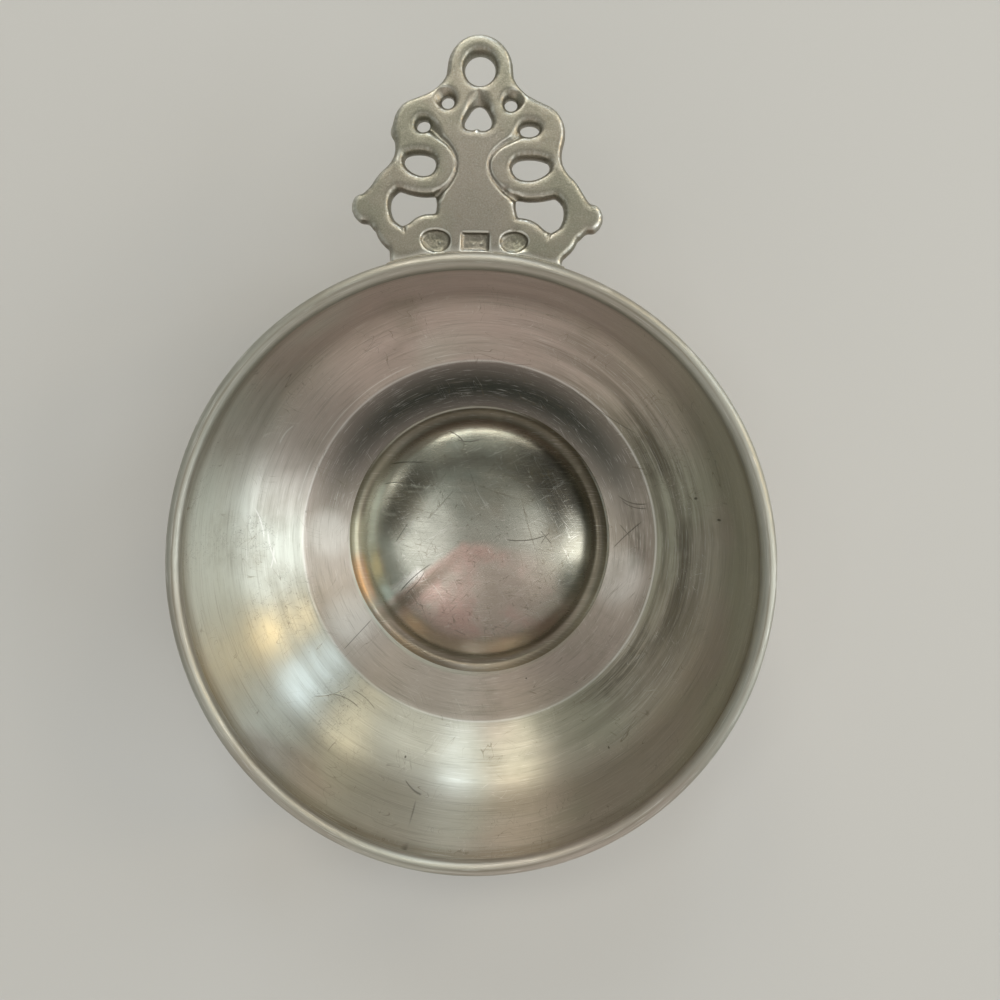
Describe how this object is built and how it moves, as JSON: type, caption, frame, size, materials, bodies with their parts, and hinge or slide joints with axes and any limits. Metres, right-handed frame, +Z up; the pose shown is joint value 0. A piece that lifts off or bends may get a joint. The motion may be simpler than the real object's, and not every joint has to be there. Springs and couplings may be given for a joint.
{
  "type": "porringer",
  "caption": "Shallow round metal bowl with a beaded rim, a domed boss in its floor and a flat pierced handle soldered under the rim.",
  "frame": {"origin": "on the table, under the middle of the length from the bowl's far side to the handle's tip, on the plane through the bowl's axis and the handle", "axes": "+Z up along the bowl's axis, +Y from the bowl towards the handle's tip, +X to the right of someone who looks along +Y"},
  "size_m": [0.1248, 0.17, 0.044],
  "materials": {
    "turned_pewter": "turned and brushed along its rings, softly worn",
    "cast_pewter": "matt cast metal with dark grime in its hollows and worn edges",
    "solder": "dull soft solder"
  },
  "bodies": {
    "root": {"bowl": "turned_pewter", "handle": "cast_pewter", "solder_seam": "solder"}
  },
  "joints": []
}
